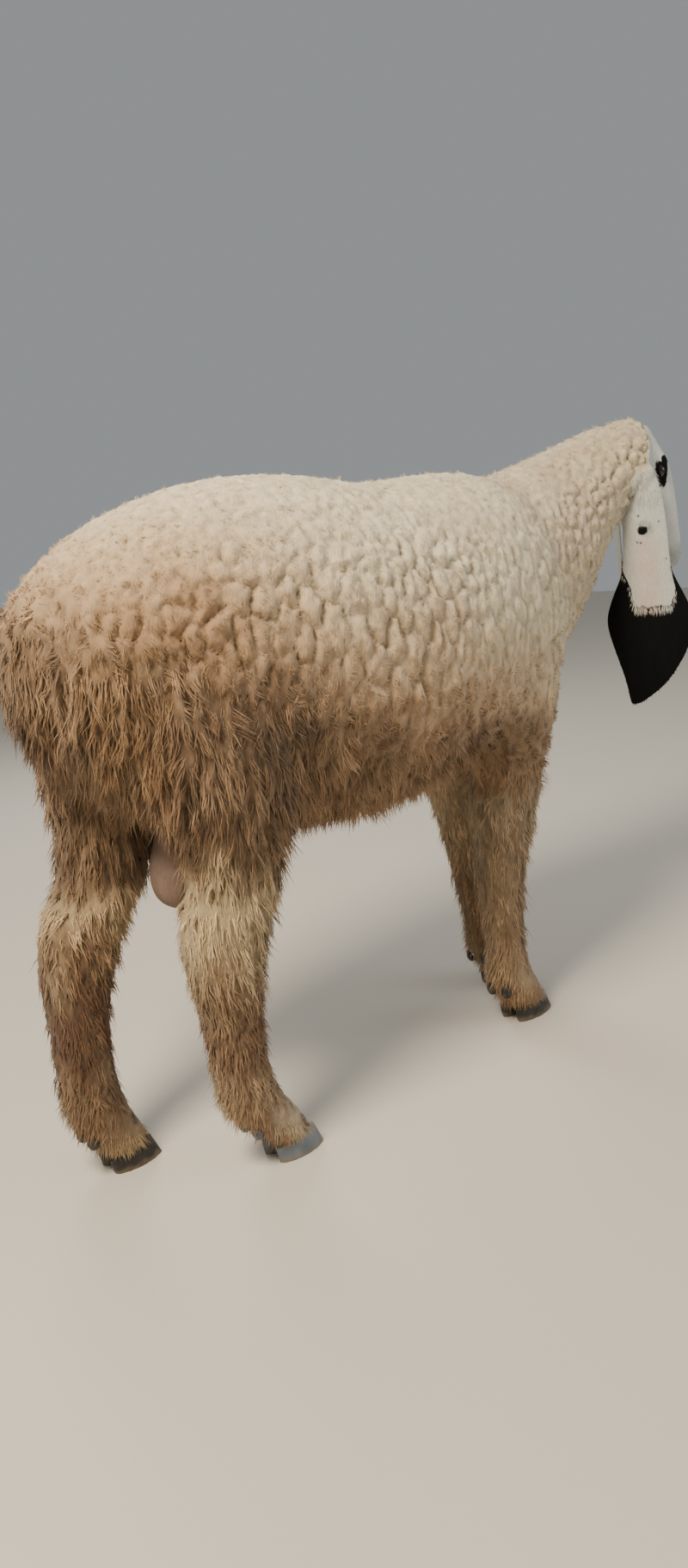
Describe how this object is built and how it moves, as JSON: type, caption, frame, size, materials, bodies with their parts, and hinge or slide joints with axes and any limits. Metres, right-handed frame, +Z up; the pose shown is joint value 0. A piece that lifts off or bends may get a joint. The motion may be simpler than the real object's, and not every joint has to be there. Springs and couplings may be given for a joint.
{
  "type": "standing lop-eared ram in a short fleece",
  "caption": "Life-size still model of a lop-eared ram standing with its head lowered and turned: clumped cream fleece, shaggy brown-stained legs, white Roman-nosed face, long black-tipped ears.",
  "frame": {"origin": "on the floor, below the middle of the overall box", "axes": "+X the way the trunk faces, +Y towards the animal's left, +Z up"},
  "size_m": [1.3754, 0.4358, 0.9608],
  "materials": {
    "fleece": "clumped wool, matt",
    "leg_wool": "shaggy stained wool, matt",
    "face_hair": "short smooth hair with a soft sheen",
    "ear_hair": "short black hair, white on the upper half",
    "bare_skin": "smooth bare skin",
    "hoof_horn": "dull dark horn",
    "eye": "wet and dark"
  },
  "bodies": {
    "root": {"trunk": "fleece", "neck": "fleece", "head": "face_hair", "ear_left": "ear_hair", "ear_right": "ear_hair", "eye_left": "eye", "eye_right": "eye", "tail": "fleece", "scrotum": "bare_skin", "leg_front_left_upper": "leg_wool", "leg_front_left_cannon": "leg_wool", "leg_front_left_foot": "leg_wool", "hoof_front_left_outer": "hoof_horn", "hoof_front_left_inner": "hoof_horn", "dewclaw_front_left_outer": "hoof_horn", "dewclaw_front_left_inner": "hoof_horn", "leg_front_right_upper": "leg_wool", "leg_front_right_cannon": "leg_wool", "leg_front_right_foot": "leg_wool", "hoof_front_right_outer": "hoof_horn", "hoof_front_right_inner": "hoof_horn", "dewclaw_front_right_outer": "hoof_horn", "dewclaw_front_right_inner": "hoof_horn", "leg_hind_left_upper": "leg_wool", "leg_hind_left_cannon": "leg_wool", "leg_hind_left_foot": "leg_wool", "hoof_hind_left_outer": "hoof_horn", "hoof_hind_left_inner": "hoof_horn", "dewclaw_hind_left_outer": "hoof_horn", "dewclaw_hind_left_inner": "hoof_horn", "leg_hind_right_upper": "leg_wool", "leg_hind_right_cannon": "leg_wool", "leg_hind_right_foot": "leg_wool", "hoof_hind_right_outer": "hoof_horn", "hoof_hind_right_inner": "hoof_horn", "dewclaw_hind_right_outer": "hoof_horn", "dewclaw_hind_right_inner": "hoof_horn"}
  },
  "joints": []
}
